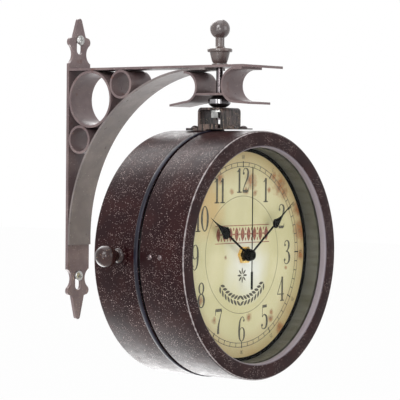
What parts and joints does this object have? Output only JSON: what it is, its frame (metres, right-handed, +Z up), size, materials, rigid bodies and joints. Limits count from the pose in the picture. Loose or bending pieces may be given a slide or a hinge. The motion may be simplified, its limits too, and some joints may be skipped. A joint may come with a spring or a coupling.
{
  "type": "double sided station clock",
  "caption": "Wall-bracket station clock: round drum with a dial on each face, hung on a swivel rod under a scrolled arm; the front half opens on a side hinge with a turning latch knob.",
  "frame": {"origin": "middle of the two wall screw slots, on the back face of the wall plate", "axes": "+X out from the wall, +Z up, -Y towards the side with the latch knob"},
  "size_m": [0.229, 0.2501, 0.3212],
  "materials": {
    "bracket_paint": "satin",
    "brace_paint": "satin",
    "rod_steel": "dull",
    "finial_bronze": "speckled gloss",
    "black_enamel": "gloss",
    "bright_steel": "polished",
    "zinc": "satin",
    "yoke_paint": "satin",
    "case_paint": "hammered gloss",
    "knob_bronze": "speckled gloss",
    "rivet_bronze": "gloss",
    "glass": "clear",
    "ring_paint": "satin",
    "dial_print": "satin, aged",
    "movement_plastic": "matt",
    "battery_skin": "gloss",
    "nut_brass": "satin",
    "hand_black": "satin"
  },
  "bodies": {
    "bracket": {"wall_plate": "bracket_paint", "top_arm": "bracket_paint", "brace": "brace_paint", "corner_ring_large": "bracket_paint", "corner_ring_upper": "bracket_paint", "corner_ring_lower": "bracket_paint", "scroll_inner": "bracket_paint", "scroll_outer": "bracket_paint", "scroll_bridge": "bracket_paint", "hanger_rod": "rod_steel", "finial": "finial_bronze", "swivel_collar": "black_enamel", "collar_band": "bright_steel", "rod_washer": "zinc", "rod_nut": "zinc"},
    "clock": {"yoke": "yoke_paint", "yoke_spacer": "yoke_paint", "saddle_plate": "yoke_paint", "yoke_screws": "yoke_paint", "rear_shell": "case_paint", "seam_hoop": "black_enamel", "rear_lens": "glass", "rear_glass_ring": "ring_paint", "rear_dial": "dial_print", "rear_dial_clips": "zinc", "rear_movement": "movement_plastic", "rear_battery": "battery_skin", "rear_dial_nut": "nut_brass", "hinge_leaf_rear": "case_paint", "hinge_pin": "zinc", "hinge_rivets_rear": "rivet_bronze", "knob_escutcheon": "case_paint"},
    "door": {"front_shell": "case_paint", "front_lens": "glass", "front_glass_ring": "ring_paint", "front_dial": "dial_print", "front_dial_clips": "zinc", "front_movement": "movement_plastic", "front_battery": "battery_skin", "front_dial_nut": "nut_brass", "hinge_leaf_front": "case_paint", "hinge_rivets_front": "rivet_bronze", "latch_keeper": "zinc", "keeper_rivets": "rivet_bronze"},
    "latch": {"latch_knob": "knob_bronze", "latch_crank": "zinc"},
    "front_hour_hand": {"front_hour_hand": "hand_black"},
    "front_minute_hand": {"front_minute_hand": "hand_black"},
    "front_second_hand": {"front_second_hand": "hand_black"},
    "front_set_wheel": {"front_set_wheel": "movement_plastic"},
    "rear_hour_hand": {"rear_hour_hand": "hand_black"},
    "rear_minute_hand": {"rear_minute_hand": "hand_black"},
    "rear_second_hand": {"rear_second_hand": "hand_black"},
    "rear_set_wheel": {"rear_set_wheel": "movement_plastic"}
  },
  "joints": [
    {"name": "swivel", "type": "hinge", "parent": "bracket", "child": "clock", "pos_m": [0.1705, 0, 0.0505], "axis": [0, 0, 1], "continuous": true},
    {"name": "door_hinge", "type": "hinge", "parent": "clock", "child": "door", "pos_m": [0.1718, 0.1125, -0.0777], "axis": [0, 0, 1], "range_deg": [0, 170]},
    {"name": "latch_turn", "type": "hinge", "parent": "clock", "child": "latch", "pos_m": [0.1505, -0.108, -0.0765], "axis": [0, 1, 0], "range_deg": [0, 90]},
    {"name": "front_hour_turn", "type": "hinge", "parent": "door", "child": "front_hour_hand", "pos_m": [0.1986, 0, -0.0777], "axis": [-1, 0, 0], "continuous": true},
    {"name": "front_minute_turn", "type": "hinge", "parent": "door", "child": "front_minute_hand", "pos_m": [0.1986, 0, -0.0777], "axis": [-1, 0, 0], "continuous": true},
    {"name": "front_second_turn", "type": "hinge", "parent": "door", "child": "front_second_hand", "pos_m": [0.1986, 0, -0.0777], "axis": [-1, 0, 0], "continuous": true},
    {"name": "front_set_turn", "type": "hinge", "parent": "door", "child": "front_set_wheel", "pos_m": [0.1816, 0, -0.0627], "axis": [-1, 0, 0], "continuous": true},
    {"name": "rear_hour_turn", "type": "hinge", "parent": "clock", "child": "rear_hour_hand", "pos_m": [0.1424, 0, -0.0777], "axis": [1, 0, 0], "continuous": true},
    {"name": "rear_minute_turn", "type": "hinge", "parent": "clock", "child": "rear_minute_hand", "pos_m": [0.1424, 0, -0.0777], "axis": [1, 0, 0], "continuous": true},
    {"name": "rear_second_turn", "type": "hinge", "parent": "clock", "child": "rear_second_hand", "pos_m": [0.1424, 0, -0.0777], "axis": [1, 0, 0], "continuous": true},
    {"name": "rear_set_turn", "type": "hinge", "parent": "clock", "child": "rear_set_wheel", "pos_m": [0.1594, 0, -0.0627], "axis": [1, 0, 0], "continuous": true}
  ],
  "couplings": [
    {"joint": "front_hour_turn", "follows": "front_minute_turn", "ratio": 0.083333},
    {"joint": "front_second_turn", "follows": "front_minute_turn", "ratio": 60},
    {"joint": "front_set_turn", "follows": "front_minute_turn", "ratio": -3},
    {"joint": "rear_hour_turn", "follows": "rear_minute_turn", "ratio": 0.083333},
    {"joint": "rear_second_turn", "follows": "rear_minute_turn", "ratio": 60},
    {"joint": "rear_set_turn", "follows": "rear_minute_turn", "ratio": -3}
  ]
}
